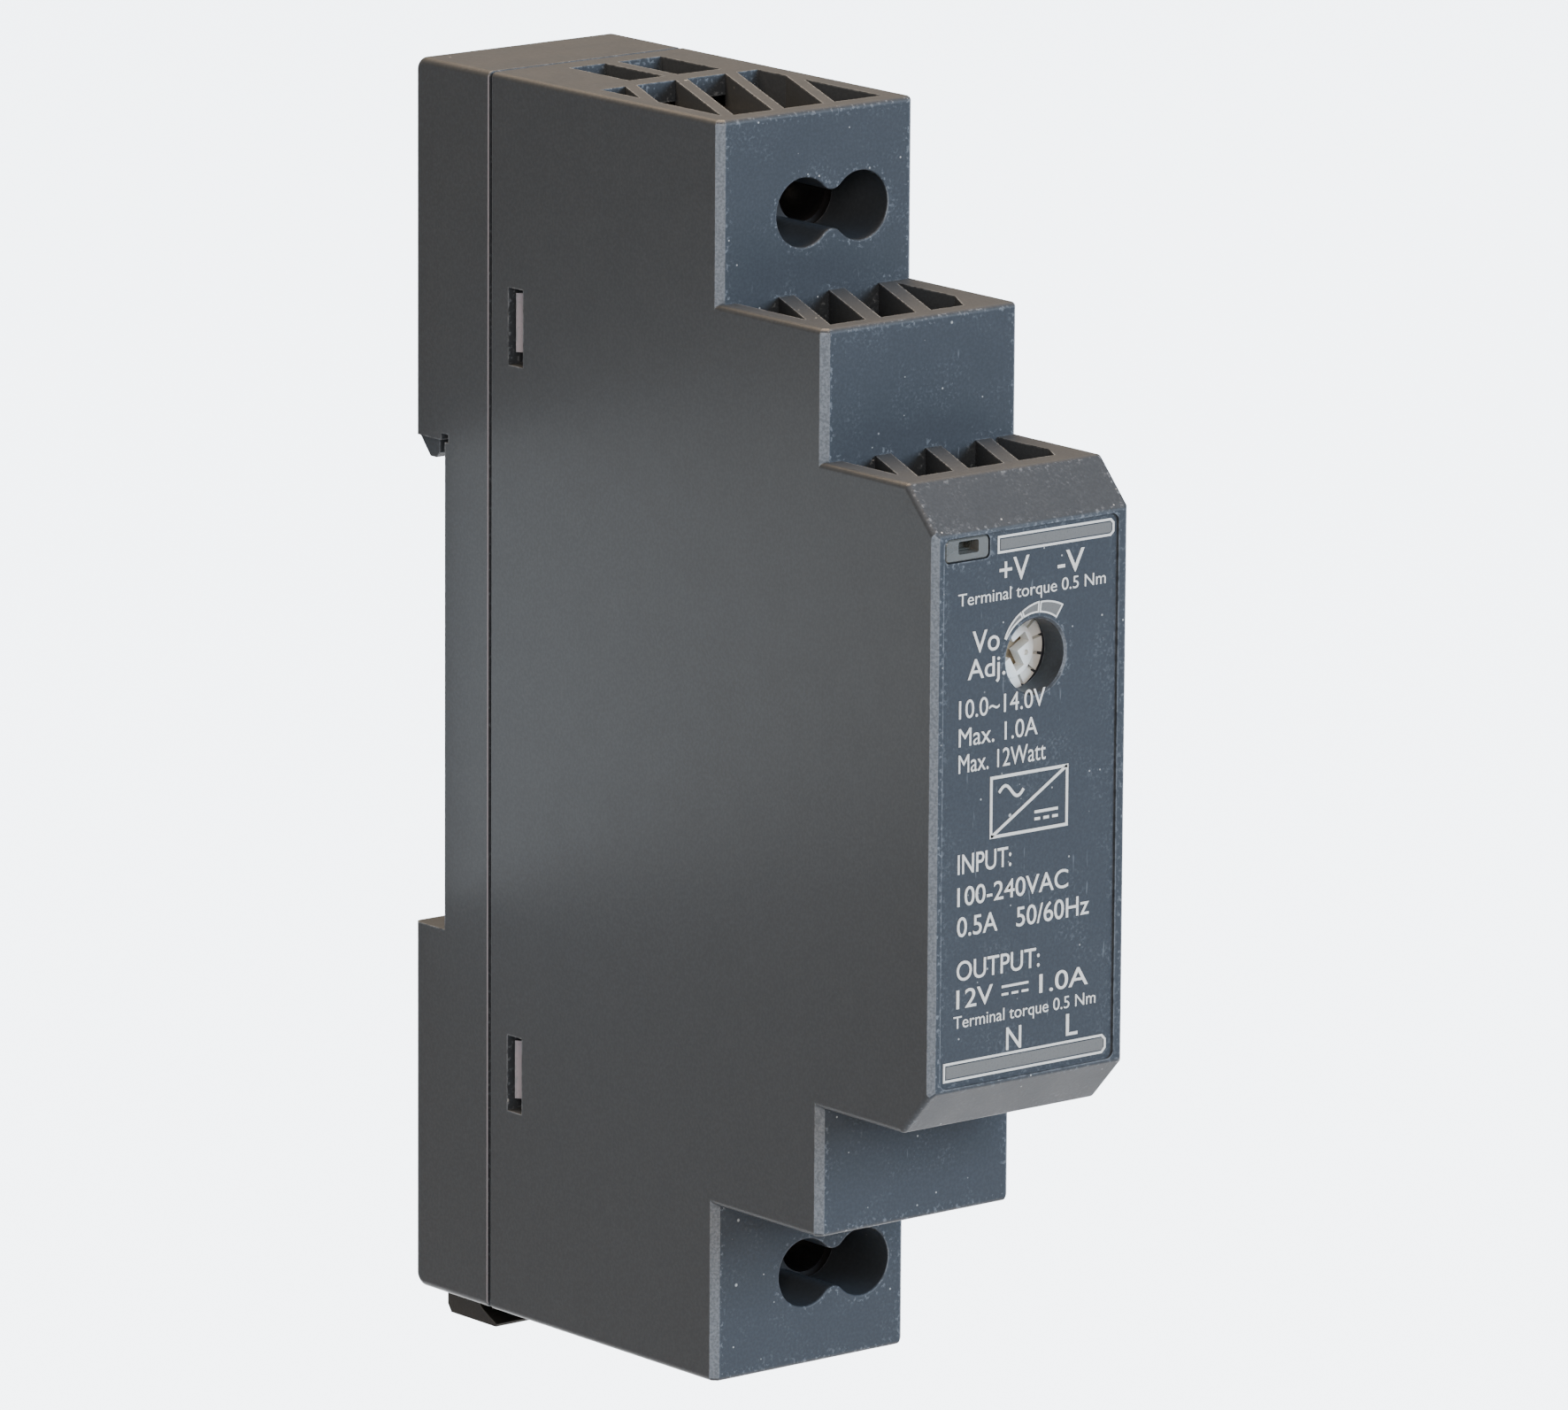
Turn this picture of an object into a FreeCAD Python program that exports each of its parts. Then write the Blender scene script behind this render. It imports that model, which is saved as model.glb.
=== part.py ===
import FreeCAD, Part
import math
import os

# Slim power supply for a 35 mm top-hat rail, one 17.5 mm module wide.
# Millimetres. Origin: centre of the seat that rests on the rail's front plane.
# +X is to the right seen from the front, +Y runs back to the wall, +Z is up.

# ---- overall size -------------------------------------------------------------------------
module_width = 17.5
body_height = 90.0
seat_to_front = 54.5
hook_depth = 3.5
side_x = module_width / 2
top_z = body_height / 2

# ---- stepped front housing ----------------------------------------------------------------
seam_y = -5.0
seam_gap = 0.35
housing_rear_y = seam_y - seam_gap
step_one_y = -31.0
step_one_z = 32.1
step_two_y = -42.5
step_two_z = 22.8
chamfer_y = -51.4
front_y = -seat_to_front
front_z = 19.5
side_wall = 1.4
shell_wall = 1.5
front_wall = 1.8
inner_x = side_x - side_wall
edge_bevel = 0.5
front_edge_bevel = 0.42
edge_round = 0.4
seam_round = 0.12
base_edge_round = 0.5
base_corner_round = 1.0

# ---- terminals ----------------------------------------------------------------------------
terminal_pitch = 5.08
output_axis_x = -1.2
output_axis_z = 37.8
input_axis_x = -0.4
input_axis_z = -38.3
driver_hole_radius = 2.45
driver_waist_half = 1.37
sleeve_wall = 0.8
sleeve_end_y = -24.8
block_front_y = -24.5
block_rear_y = -8.2
block_entry_z = 42.3
ledge_front_y = -18.35
ledge_rear_y = -17.75
chamber_rear_y = -9.45
screw_head_radius = 1.95
screw_head_height = 1.6
screw_shank_radius = 1.44
screw_tip_y = -14.0
screw_hole_radius = 1.5
bar_front_y = -13.9
bar_thickness = 0.8
bar_half_width = 1.1
cage_rear_y = -9.6
cage_front_y = -15.65
cage_half_width = 2.1
cage_half_height = 2.2
cage_side_wall = 0.5
cage_rear_wall = 0.7
cage_front_wall = 1.2
play = 0.1

# ---- circuit board ------------------------------------------------------------------------
board_back_x = -6.7
board_face_x = -5.1
board_rear_y = -6.6
board_front_y = -50.4
lead_radius = 0.3
transformer_y = -20.0
core_half_y = 8.0
core_half_z = 7.0
core_yoke = 2.0
core_x = (-1.3, 3.3)
core_leg = 2.2
centre_leg_half = 2.0
bobbin_wall = 0.5
bobbin_half_z = 4.9
bobbin_flange = 0.7
winding_depth = 2.3
tape_thickness = 0.15
choke_centre = (0.4, -17.0, -26.4)
choke_radius = 5.0
choke_hole_radius = 2.8
choke_half_height = 2.2
turns_per_side = 7
turn_spacing = 17
bulk_can = (4.9, 18.5)
bulk_low_z = -18.5
output_can = (3.9, 12.5)
output_low_z = 4.5
disc_radius = 3.5
disc_lead_spread = 2.5
fuse_radius = 1.7
fuse_cap_radius = 1.9
fuse_cap_length = 1.5
drum_radius = 3.2
drum_winding_radius = 2.9

# ---- rear base and latch ------------------------------------------------------------------
slot_top_z = 17.7
slot_bottom_z = -18.0
hook_front_y = 1.2
hook_tip_z = 16.2
base_cavity_x = 6.4
base_cavity_z = 42.5
base_wall_rear_y = -1.8
rim_x = 7.2
rim_z = 43.3
rim_front_y = -6.3
channel_half = 5.4
channel_wing_half = 6.3
channel_wing_y = 1.6
channel_floor_y = -0.05
latch_half = 5.25
latch_wing_half = 6.2
latch_rear_y = 3.4
latch_top_z = -18.2
latch_bottom_z = -47.5
latch_nose_z = -15.9
tab_half = 5.8
tab_front_y = -2.35
tab_top_z = -45.2
window_low_z = -38.0
window_high_z = -28.0
spring_seat_z = -36.5
spring_radius = 1.0
spring_wire_radius = 0.22
spring_turns = 7

# ---- snap joints between base and housing -------------------------------------------------
snap_front_y = -9.0
snap_rear_y = -7.35
snap_low_z = 24.35
snap_high_z = 29.9

# ---- front panel --------------------------------------------------------------------------
panel_left_x = -7.9
panel_right_x = 7.7
panel_half_z = 19.3
panel_depth = 0.2
light_left_x = -7.7
light_right_x = -3.7
light_low_z = 17.5
light_high_z = 19.2
trimmer_x = 0.5
trimmer_z = 10.1
trimmer_hole_radius = 2.62
trimmer_half = 3.4
collar_end_y = -52.1
rotor_radius = 3.0
rotor_hub_radius = 1.95
rotor_face_y = -51.7
rotor_rear_y = -49.8
rotor_petals = 14
rotor_slot_angle = 30
trimmer_front_y = -51.4
trimmer_rear_y = -47.0


def block(x_range, y_range, z_range):
    """Box between the given low and high values on each axis."""
    corner = FreeCAD.Vector(x_range[0], y_range[0], z_range[0])
    return Part.makeBox(x_range[1] - x_range[0], y_range[1] - y_range[0], z_range[1] - z_range[0], corner)


def rod(radius, start, end):
    """Round bar between two points."""
    start = FreeCAD.Vector(*start)
    line = FreeCAD.Vector(*end) - start
    return Part.makeCylinder(radius, line.Length, start, line)


def side_prism(outline, x_low, x_high):
    """Outline of (y, z) points extruded across the width."""
    points = [FreeCAD.Vector(x_low, y, z) for y, z in outline]
    face = Part.Face(Part.makePolygon(points + points[:1]))
    return face.extrude(FreeCAD.Vector(x_high - x_low, 0, 0))


def plan_prism(outline, z_low, z_high):
    """Outline of (x, y) points extruded upwards."""
    points = [FreeCAD.Vector(x, y, z_low) for x, y in outline]
    face = Part.Face(Part.makePolygon(points + points[:1]))
    return face.extrude(FreeCAD.Vector(0, 0, z_high - z_low))


def front_prism(outline, y_low, y_high):
    """Outline of (x, z) points extruded from front to back."""
    points = [FreeCAD.Vector(x, y_low, z) for x, z in outline]
    face = Part.Face(Part.makePolygon(points + points[:1]))
    return face.extrude(FreeCAD.Vector(0, y_high - y_low, 0))


def fuse(shapes):
    """All shapes as one solid."""
    return shapes[0].multiFuse(shapes[1:]).removeSplitter()


def flipped(shape):
    """The shape mirrored from top to bottom."""
    return shape.mirror(FreeCAD.Vector(0, 0, 0), FreeCAD.Vector(0, 0, 1))


def soften(shape, radius, wanted):
    """Round the edges whose midpoint and direction pass the test."""
    chosen = []
    for edge in shape.Edges:
        if edge.Degenerated:
            continue
        middle = edge.valueAt((edge.FirstParameter + edge.LastParameter) / 2)
        along = edge.tangentAt(edge.FirstParameter)
        if wanted(middle, along):
            chosen.append(edge)
    return shape.makeFillet(radius, chosen)


def save(name, shape):
    """Write one node."""
    shape.exportStep(os.path.join("parts", name + ".step"))
    print(name, round(shape.Volume, 2), len(shape.Solids), shape.isValid())


# ---- front housing ------------------------------------------------------------------------

def housing_outline(inset, rear_y):
    """Stepped side view of the housing, drawn in by the wall thickness."""
    upper = [(rear_y, top_z - inset),
             (step_one_y + inset, top_z - inset),
             (step_one_y + inset, step_one_z - inset),
             (step_two_y + inset, step_one_z - inset),
             (step_two_y + inset, step_two_z - inset),
             (chamfer_y + inset * 0.45, step_two_z - inset),
             (front_y + inset * front_wall / shell_wall, front_z - inset * 0.45)]
    lower = [(y, -z) for y, z in reversed(upper)]
    return upper + lower


def housing_skin():
    """Three nested blocks, each with bevelled upright front edges, joined into the stepped body."""
    block_outlines = [([(housing_rear_y, top_z), (step_one_y, top_z)], edge_bevel),
                      ([(housing_rear_y, step_one_z), (step_two_y, step_one_z)], edge_bevel),
                      ([(housing_rear_y, step_two_z), (chamfer_y, step_two_z), (front_y, front_z)],
                       front_edge_bevel)]
    blocks = []
    for upper, bevel in block_outlines:
        face_y = upper[-1][0]
        solid = side_prism(upper + [(y, -z) for y, z in reversed(upper)], -side_x, side_x)
        upright = [edge for edge in solid.Edges
                   if edge.BoundBox.YMax < face_y + 0.01 and edge.BoundBox.XLength < 0.01]
        solid = solid.makeChamfer(bevel, upright)
        solid = soften(solid, edge_round,
                       lambda middle, along: abs(along.z) < 0.99 and middle.y < housing_rear_y - 0.01)
        solid = soften(solid, seam_round, lambda middle, along: middle.y > housing_rear_y - 0.01)
        blocks.append(solid)
    return fuse(blocks)


def vent(region, rib_centres, rib_width, y_reference, lean, z_range):
    """Slots of one louvre field: the field's outline less its slanted ribs."""
    field = plan_prism(region, *z_range)
    y_low = min(y for x, y in region) - 1
    y_high = max(y for x, y in region) + 1
    for centre in rib_centres:
        low_x = centre + lean * (y_low - y_reference)
        high_x = centre + lean * (y_high - y_reference)
        half = rib_width / 2
        rib = plan_prism([(low_x - half, y_low), (low_x + half, y_low),
                          (high_x + half, y_high), (high_x - half, y_high)], *z_range)
        field = field.cut(rib)
    return field


def top_vents():
    """Slots of the three louvre fields and the two wire entries on the upper side."""
    rib_depth = 2.5
    first = vent([(-7.2, -15.8), (-7.2, -29.5), (6.9, -29.5), (6.9, -15.8)],
                 [-7.6, -3.1, 1.4, 5.9], 1.05, -22, 0.5, (top_z - rib_depth, top_z + 1))
    second = vent([(-7.3, step_one_y), (-7.3, -41.1), (4.8, -41.1), (6.6, -38.0), (6.6, step_one_y)],
                  [-5.25, -0.75, 3.75], 1.4, -36, 0.5, (step_one_z - rib_depth, step_one_z + 1))
    third = vent([(-7.2, step_two_y), (-7.2, -49.8), (5.8, -49.8), (6.8, -48.0), (6.8, step_two_y)],
                 [-5.2, -0.7, 3.8], 1.4, -46, 0.5, (step_two_z - rib_depth, step_two_z + 1))
    entries = [block(x_range, (-14.0, -7.3), (top_z - rib_depth, top_z + 1))
               for x_range in ((-3.25, -0.1), (1.1, 4.95))]
    return [first, second, third] + entries


def louvre_backing():
    """Deeper wall under the louvres, so that their ribs are taller than the shell is thick."""
    depth = 1.0
    first = block((-inner_x, inner_x), (step_one_y + shell_wall, -15.8),
                  (top_z - shell_wall - depth, top_z - shell_wall))
    second = block((-inner_x, inner_x), (step_two_y + shell_wall, step_one_y + shell_wall),
                   (step_one_z - shell_wall - depth, step_one_z - shell_wall))
    third = block((-inner_x, inner_x), (-50.3, step_two_y + shell_wall),
                  (step_two_z - shell_wall - depth, step_two_z - shell_wall))
    return [first, second, third]


def driver_opening(axis_x, axis_z, grow, y_range):
    """Figure-of-eight bar: two round screwdriver ways joined by a waist."""
    radius = driver_hole_radius + grow
    ways = [rod(radius, (axis_x + index * terminal_pitch, y_range[0], axis_z),
                (axis_x + index * terminal_pitch, y_range[1], axis_z)) for index in (0, 1)]
    half = driver_waist_half + grow
    reach = terminal_pitch / 2
    neck_radius = (reach ** 2 + half ** 2 - radius ** 2) / (2 * (radius - half))
    neck_z = half + neck_radius
    middle_x = axis_x + reach
    waist = front_prism([(axis_x, axis_z), (middle_x, axis_z + neck_z), (axis_x + terminal_pitch, axis_z),
                         (middle_x, axis_z - neck_z)], *y_range)
    necks = [rod(neck_radius, (middle_x, y_range[0] - 1, axis_z + side * neck_z),
                 (middle_x, y_range[1] + 1, axis_z + side * neck_z)) for side in (-1, 1)]
    return fuse(ways + [waist.cut(necks)])


def snap_window(side, z_low):
    """Opening in a side wall where a snap hook of the base shows."""
    x_range = sorted((side * (inner_x - 0.5), side * (side_x + 0.5)))
    return block(x_range, (snap_front_y, snap_rear_y), (z_low, z_low + snap_high_z - snap_low_z))


def front_housing():
    """The stepped cover with its louvres, screwdriver ways and front panel."""
    skin = housing_skin()
    cavity = side_prism(housing_outline(shell_wall, housing_rear_y + 1), -inner_x, inner_x)
    backing = louvre_backing()
    sleeves = []
    openings = []
    for axis_x, axis_z in ((output_axis_x, output_axis_z), (input_axis_x, input_axis_z)):
        sleeves.append(driver_opening(axis_x, axis_z, sleeve_wall, (step_one_y + 1, sleeve_end_y)))
        openings.append(driver_opening(axis_x, axis_z, 0, (step_one_y - 1, sleeve_end_y + 1)))
    posts = [rod(1.5, (-inner_x - 0.5, y, side * z), (board_back_x - 0.05, y, side * z))
             for y, z in ((-12.0, 38.0), (-27.0, 36.0), (-46.0, 17.0)) for side in (-1, 1)]
    collar = rod(trimmer_hole_radius + 0.7, (trimmer_x, front_y + 1, trimmer_z),
                 (trimmer_x, collar_end_y, trimmer_z))
    inside = backing + [flipped(shape) for shape in backing] + sleeves + posts + [collar]
    room = block((-inner_x - 0.5, inner_x + 0.5), (front_y, housing_rear_y), (-top_z, top_z))
    cover = skin.cut(cavity).multiFuse([shape.common(room) for shape in inside])
    vents = top_vents()
    cuts = openings + vents + [flipped(shape) for shape in vents]
    cuts += [snap_window(side, z_low) for side in (-1, 1) for z_low in (snap_low_z, -snap_high_z)]
    cuts += front_panel_cuts()
    cover = cover.cut(cuts).removeSplitter()
    return soften(cover, 0.15, on_driver_rim)


def on_driver_rim(middle, along):
    """True for the front edges of the two screwdriver openings."""
    left_x = min(output_axis_x, input_axis_x) - driver_hole_radius - 0.1
    inside_x = left_x < middle.x < side_x - edge_bevel - 0.2
    near_z = abs(abs(middle.z) - abs(output_axis_z)) < driver_hole_radius + 0.7
    return abs(middle.y - step_one_y) < 0.001 and inside_x and near_z


def front_panel_cuts():
    """Panel recess, light opening and the dished hole over the trimmer."""
    panel = block((panel_left_x, panel_right_x), (front_y - 1, front_y + panel_depth),
                  (-panel_half_z, panel_half_z))
    panel = soften(panel, 0.6, lambda middle, along: abs(along.y) > 0.9)
    light = block((light_left_x, light_right_x), (front_y - 1, front_y + front_wall + 0.1),
                  (light_low_z, light_high_z))
    light = soften(light, 0.4, lambda middle, along: abs(along.y) > 0.9)
    hole = rod(trimmer_hole_radius, (trimmer_x, front_y - 1, trimmer_z),
               (trimmer_x, collar_end_y + 0.5, trimmer_z))
    dish_depth = 0.15
    dish = Part.makeCone(trimmer_hole_radius + dish_depth, trimmer_hole_radius, dish_depth,
                         FreeCAD.Vector(trimmer_x, front_y + panel_depth, trimmer_z),
                         FreeCAD.Vector(0, 1, 0))
    return [panel, light, hole, dish]


# ---- rear base, latch and spring ----------------------------------------------------------

def snap_arm(side, z_low):
    """Springy arm that ends in a hook filling most of one snap window."""
    arm = block(sorted((side * 6.3, side * rim_x)), (snap_front_y - 0.2, seam_y + 0.5),
                (z_low + 0.3, z_low + 5.3))
    root_x = rim_x - 0.1
    ramp = [(root_x, snap_front_y + 0.05), (side_x - 1.1, snap_front_y + 0.05),
            (side_x - 0.25, snap_rear_y - 0.55), (root_x, snap_rear_y - 0.55)]
    hook = plan_prism([(side * x, y) for x, y in ramp], z_low + 0.95, z_low + 5.2)
    return arm.fuse(hook)


def base_rim():
    """Tongue around the base's front edge that enters the housing."""
    wall = 0.8
    outer = block((-rim_x, rim_x), (rim_front_y, seam_y + 0.2), (-rim_z, rim_z))
    inner = block((-rim_x + wall, rim_x - wall), (rim_front_y - 1, seam_y + 1), (-rim_z + wall, rim_z - wall))
    return outer.cut(inner)


def rear_base():
    """Block behind the seam, with the rail slot, fixed top hook and latch channel."""
    body = block((-side_x, side_x), (seam_y, hook_depth), (-top_z, top_z))
    body = soften(body, base_corner_round,
                  lambda middle, along: abs(along.x) > 0.9 and middle.y > 0)
    body = soften(body, base_edge_round,
                  lambda middle, along: abs(middle.x) > side_x - 0.01 and middle.y > seam_y + 0.01)
    body = soften(body, seam_round, lambda middle, along: middle.y < seam_y + 0.01)
    cuts = [block((-10, 10), (0, hook_depth + 1), (slot_bottom_z, slot_top_z)),
            block((-10, 10), (-0.4, 0.4), (slot_top_z - 0.1, slot_top_z + 0.5)),
            block((-base_cavity_x, base_cavity_x), (seam_y - 1, base_wall_rear_y),
                  (-base_cavity_z, base_cavity_z)),
            block((-base_cavity_x, base_cavity_x), (base_wall_rear_y - 0.1, hook_depth - 1.5),
                  (slot_top_z + 2.0, base_cavity_z)),
            block((-channel_half, channel_half), (channel_floor_y, hook_depth + 1),
                  (-top_z - 1, slot_bottom_z + 0.1)),
            block((-channel_wing_half, channel_wing_half), (channel_floor_y, channel_wing_y),
                  (-top_z - 1, slot_bottom_z + 0.1))]
    hook = side_prism([(hook_front_y, slot_top_z + 0.3), (hook_front_y, hook_tip_z + 0.4),
                       (hook_front_y + 0.4, hook_tip_z), (hook_depth - 1.2, hook_tip_z),
                       (hook_depth, hook_tip_z + 1.4), (hook_depth, slot_top_z + 0.3)],
                      -side_x + base_edge_round, side_x - base_edge_round)
    spring_seat = block((-2.2, 2.2), (channel_floor_y - 0.2, 3.1), (window_low_z + 0.1, spring_seat_z))
    arms = [snap_arm(side, z_low) for side in (-1, 1) for z_low in (snap_low_z, -snap_high_z)]
    return body.cut(cuts).multiFuse([hook, spring_seat, base_rim()] + arms).removeSplitter()


def rail_latch():
    """Sliding latch: T-section plate, nose that grips the rail, and release tab below."""
    plate = block((-latch_half, latch_half), (0.05, latch_rear_y), (tab_top_z - 0.5, latch_top_z))
    wings = block((-latch_wing_half, latch_wing_half), (0.05, channel_wing_y - 0.1), (-44.5, latch_top_z))
    nose = side_prism([(1.3, latch_top_z - 0.2), (1.3, latch_nose_z - 0.2), (1.5, latch_nose_z),
                       (latch_rear_y, latch_top_z), (latch_rear_y, latch_top_z - 0.2)], -4.5, 4.5)
    tab = side_prism([(0.05, tab_top_z), (0.05, tab_top_z - 0.6), (-0.6, latch_bottom_z + 1.1),
                      (tab_front_y, latch_bottom_z + 0.2), (tab_front_y + 0.1, latch_bottom_z),
                      (latch_rear_y - 0.4, latch_bottom_z), (latch_rear_y, latch_bottom_z + 0.6),
                      (latch_rear_y, tab_top_z)], -tab_half, tab_half)
    window = block((-2.4, 2.4), (-1, hook_depth + 1), (window_low_z, window_high_z))
    driver_slot = block((-2.2, 2.2), (0.8, 1.9), (latch_bottom_z - 1, latch_bottom_z + 1.4))
    return fuse([plate, wings, nose, tab]).cut([window, driver_slot])


def latch_spring():
    """Coil spring between the base's seat and the top of the latch's window."""
    length = window_high_z - spring_seat_z - 2 * spring_wire_radius - 0.1
    start = FreeCAD.Vector(0, 1.6, spring_seat_z + spring_wire_radius + 0.05)
    path = Part.Wire(Part.makeHelix(length / spring_turns, length, spring_radius).Edges)
    section = Part.Wire(Part.makeCircle(spring_wire_radius, FreeCAD.Vector(spring_radius, 0, 0),
                                        FreeCAD.Vector(0, 1, 0)))
    coil = path.makePipeShell([section], True, True)
    coil.translate(start)
    return coil


# ---- terminals ----------------------------------------------------------------------------

def terminal_block(axis_x, axis_z):
    """Moulded two-way block: screw wells, cage chambers and wire funnels. Wires enter away from z = 0."""
    out = math.copysign(1, axis_z)
    depth_to_base = 4.2
    height_to_entry = block_entry_z - abs(axis_z)
    z_ends = sorted((axis_z - out * depth_to_base, axis_z + out * height_to_entry))
    body = block((board_face_x, axis_x + 1.5 * terminal_pitch), (block_front_y, block_rear_y), z_ends)
    cuts = []
    for index in (0, 1):
        x = axis_x + index * terminal_pitch
        cuts.append(rod(screw_head_radius + 0.15, (x, block_front_y - 1, axis_z), (x, ledge_front_y, axis_z)))
        cuts.append(rod(screw_hole_radius, (x, ledge_front_y - 1, axis_z), (x, ledge_rear_y + 1, axis_z)))
        cuts.append(block((x - cage_half_width - play, x + cage_half_width + play),
                          (ledge_rear_y, chamber_rear_y),
                          (axis_z - cage_half_height - play, axis_z + cage_half_height + play)))
        funnel = sorted((axis_z, axis_z + out * (height_to_entry + 1)))
        cuts.append(block((x - 1.6, x + 1.6), (bar_front_y + bar_thickness, cage_rear_y - cage_rear_wall),
                          funnel))
        exit_way = sorted((axis_z, axis_z - out * (depth_to_base + 1)))
        cuts.append(block((x - bar_half_width - play, x + bar_half_width + play),
                          (bar_front_y - play, bar_front_y + bar_thickness + play), exit_way))
    return body.cut(cuts).removeSplitter()


def contact_bar(axis_x, axis_z, index):
    """Flat bar inside a cage, bent over under the block and soldered to the board."""
    out = math.copysign(1, axis_z)
    x = axis_x + index * terminal_pitch
    foot_z = axis_z - out * (5.2 + 1.2 * index)
    y_range = (bar_front_y, bar_front_y + bar_thickness)
    upright = block((x - bar_half_width, x + bar_half_width), y_range,
                    sorted((axis_z + out * (cage_half_height - 0.1), foot_z)))
    foot = block((board_face_x, x + bar_half_width), y_range, sorted((foot_z, foot_z + out * 0.8)))
    return fuse([upright, foot])


def clamp_cage(axis_x, axis_z, index):
    """Rising clamp cage, threaded in front, with the wire space at the back."""
    x = axis_x + index * terminal_pitch
    z_range = (axis_z - cage_half_height, axis_z + cage_half_height)
    frame = block((x - cage_half_width, x + cage_half_width), (cage_front_y, cage_rear_y), z_range)
    space = block((x - cage_half_width + cage_side_wall, x + cage_half_width - cage_side_wall),
                  (cage_front_y + cage_front_wall, cage_rear_y - cage_rear_wall),
                  (z_range[0] - 1, z_range[1] + 1))
    thread = rod(screw_hole_radius, (x, cage_front_y - 1, axis_z), (x, cage_front_y + 2, axis_z))
    return frame.cut([space, thread])


def clamp_screw(axis_x, axis_z, index):
    """Terminal screw with a cross-and-slot head facing the front."""
    x = axis_x + index * terminal_pitch
    head_rear_y = ledge_front_y - 0.05
    head_front_y = head_rear_y - screw_head_height
    head = rod(screw_head_radius, (x, head_front_y, axis_z), (x, head_rear_y, axis_z))
    head = head.makeFillet(0.3, [edge for edge in head.Edges if edge.BoundBox.YMax < head_front_y + 0.01])
    shank = rod(screw_shank_radius, (x, head_rear_y - 0.1, axis_z), (x, screw_tip_y, axis_z))
    slot_half = 0.35
    slot = block((x - 3, x + 3), (head_front_y - 1, head_front_y + 0.9),
                 (axis_z - slot_half, axis_z + slot_half))
    cross = block((x - slot_half, x + slot_half), (head_front_y - 1, head_front_y + 1.1),
                  (axis_z - 1.25, axis_z + 1.25))
    return fuse([head, shank]).cut([slot, cross])


# ---- circuit board and its parts ----------------------------------------------------------

def main_board():
    """Stepped board standing beside the left wall, notched at the snap arms."""
    gap = 0.7
    inset = shell_wall + gap
    backing_gap = 1.3
    upper = [(board_rear_y, top_z - inset - backing_gap),
             (step_one_y + inset, top_z - inset - backing_gap),
             (step_one_y + inset, step_one_z - inset - backing_gap),
             (step_two_y + inset, step_one_z - inset - backing_gap),
             (step_two_y + inset, step_two_z - inset - backing_gap),
             (board_front_y, step_two_z - inset - backing_gap)]
    board = side_prism(upper + [(y, -z) for y, z in reversed(upper)], board_back_x, board_face_x)
    notches = [block((-8, 0), (-10.0, -5.0), sorted((side * (snap_low_z - 0.9), side * (snap_high_z + 0.9))))
               for side in (-1, 1)]
    isolation_slot = block((-8, 0), (-31.0, -29.4), (10.0, 19.0))
    return board.cut(notches + [isolation_slot])


def leads(points, reach_x, radius=lead_radius):
    """Wire legs from the board's face out to a component."""
    return [rod(radius, (board_face_x, y, z), (reach_x, y, z)) for y, z in points]


def can_capacitor(radius, length, centre_y, z_low, centre_x):
    """Electrolytic can lying along Z, with a rolled groove, rubber bung and two bent legs."""
    can = rod(radius, (centre_x, centre_y, z_low), (centre_x, centre_y, z_low + length))
    rims = [edge for edge in can.Edges if edge.Length > radius and len(edge.Vertexes) == 1]
    can = can.makeFillet(0.5, rims)
    groove = Part.makeTorus(radius + 0.25, 0.5, FreeCAD.Vector(centre_x, centre_y, z_low + 1.6))
    can = can.cut(groove)
    bung = rod(radius - 0.9, (centre_x, centre_y, z_low - 0.4), (centre_x, centre_y, z_low + 0.5))
    legs = []
    for side in (-1, 1):
        y = centre_y + side * radius / 2
        bend_z = z_low - 1.2
        legs.append(rod(lead_radius, (centre_x, y, z_low - 0.2), (centre_x, y, bend_z)))
        legs.append(Part.makeSphere(lead_radius, FreeCAD.Vector(centre_x, y, bend_z)))
        legs.append(rod(lead_radius, (centre_x, y, bend_z), (board_face_x, y, bend_z)))
    return fuse([can, bung] + legs)


def transformer_core():
    """Pair of E cores closed into a figure-of-eight around the winding."""
    outer = block(core_x, (transformer_y - core_half_y, transformer_y + core_half_y),
                  (-core_half_z, core_half_z))
    windows = []
    for side in (-1, 1):
        y_range = sorted((transformer_y + side * centre_leg_half,
                          transformer_y + side * (core_half_y - core_leg)))
        windows.append(block((core_x[0] - 1, core_x[1] + 1), y_range,
                             (-core_half_z + core_yoke, core_half_z - core_yoke)))
    return outer.cut(windows)


def transformer_bobbin():
    """Winding former: square tube on the centre leg, two flanges and the pin rails."""
    gap = 0.05
    hole = block((core_x[0] - gap, core_x[1] + gap),
                 (transformer_y - centre_leg_half - gap, transformer_y + centre_leg_half + gap), (-9, 9))
    reach = centre_leg_half + bobbin_wall
    tube = block((core_x[0] - bobbin_wall, core_x[1] + bobbin_wall),
                 (transformer_y - reach, transformer_y + reach), (-bobbin_half_z, bobbin_half_z))
    flange_half = core_half_y - core_leg - 0.1
    flanges = [block((-4.3, 6.6), (transformer_y - flange_half, transformer_y + flange_half), z_range)
               for z_range in ((-bobbin_half_z, bobbin_flange - bobbin_half_z),
                               (bobbin_half_z - bobbin_flange, bobbin_half_z))]
    rails = [block((-4.3, -1.6), (transformer_y - 7.5, transformer_y + 7.5),
                   sorted((side * bobbin_half_z, side * 8.6))) for side in (-1, 1)]
    pin_places = [(transformer_y + step * 2.5, side * 7.6) for side in (-1, 1) for step in (-2, -1, 0, 1, 2)]
    pins = leads(pin_places, -3.5, 0.35)
    return fuse([tube] + flanges + rails).cut(hole).multiFuse(pins).removeSplitter()


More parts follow.
